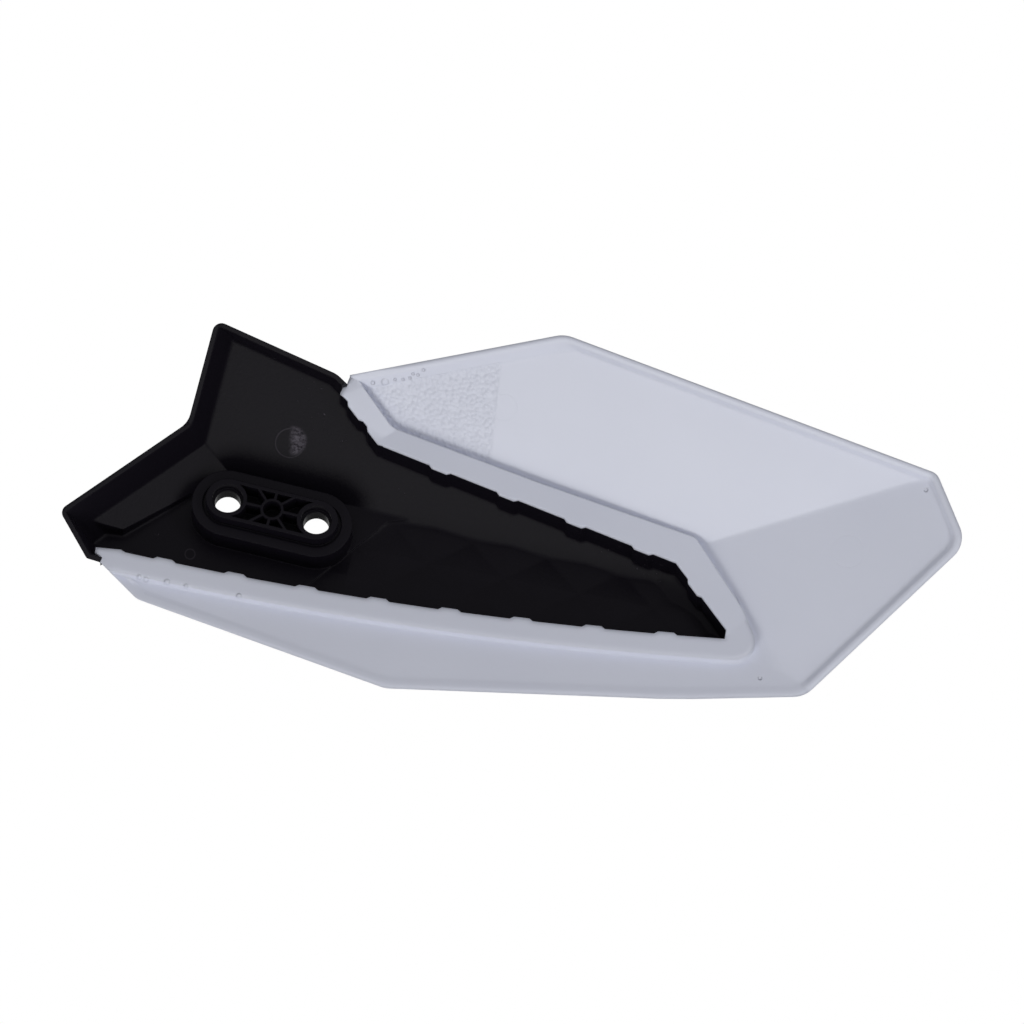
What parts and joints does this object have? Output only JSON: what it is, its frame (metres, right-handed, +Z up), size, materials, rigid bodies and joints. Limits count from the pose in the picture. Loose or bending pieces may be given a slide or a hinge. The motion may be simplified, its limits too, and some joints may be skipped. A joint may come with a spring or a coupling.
{
  "type": "motorcycle hand guard",
  "caption": "Shell that shields a rider's hand at the handlebar: angular white shield moulded round a black carrier with an oval mounting boss.",
  "frame": {"origin": "midway between the two mounting holes, in the middle of their 4 mm walls", "axes": "+X along the guard towards its outer tip, +Y away from the rider, +Z up as the guard is carried"},
  "size_m": [0.2358, 0.0437, 0.0985],
  "materials": {
    "white_plastic": "satin, moulded",
    "black_plastic": "matte, moulded"
  },
  "bodies": {
    "root": {"outer_shield": "white_plastic", "mount_carrier": "black_plastic"}
  },
  "joints": []
}
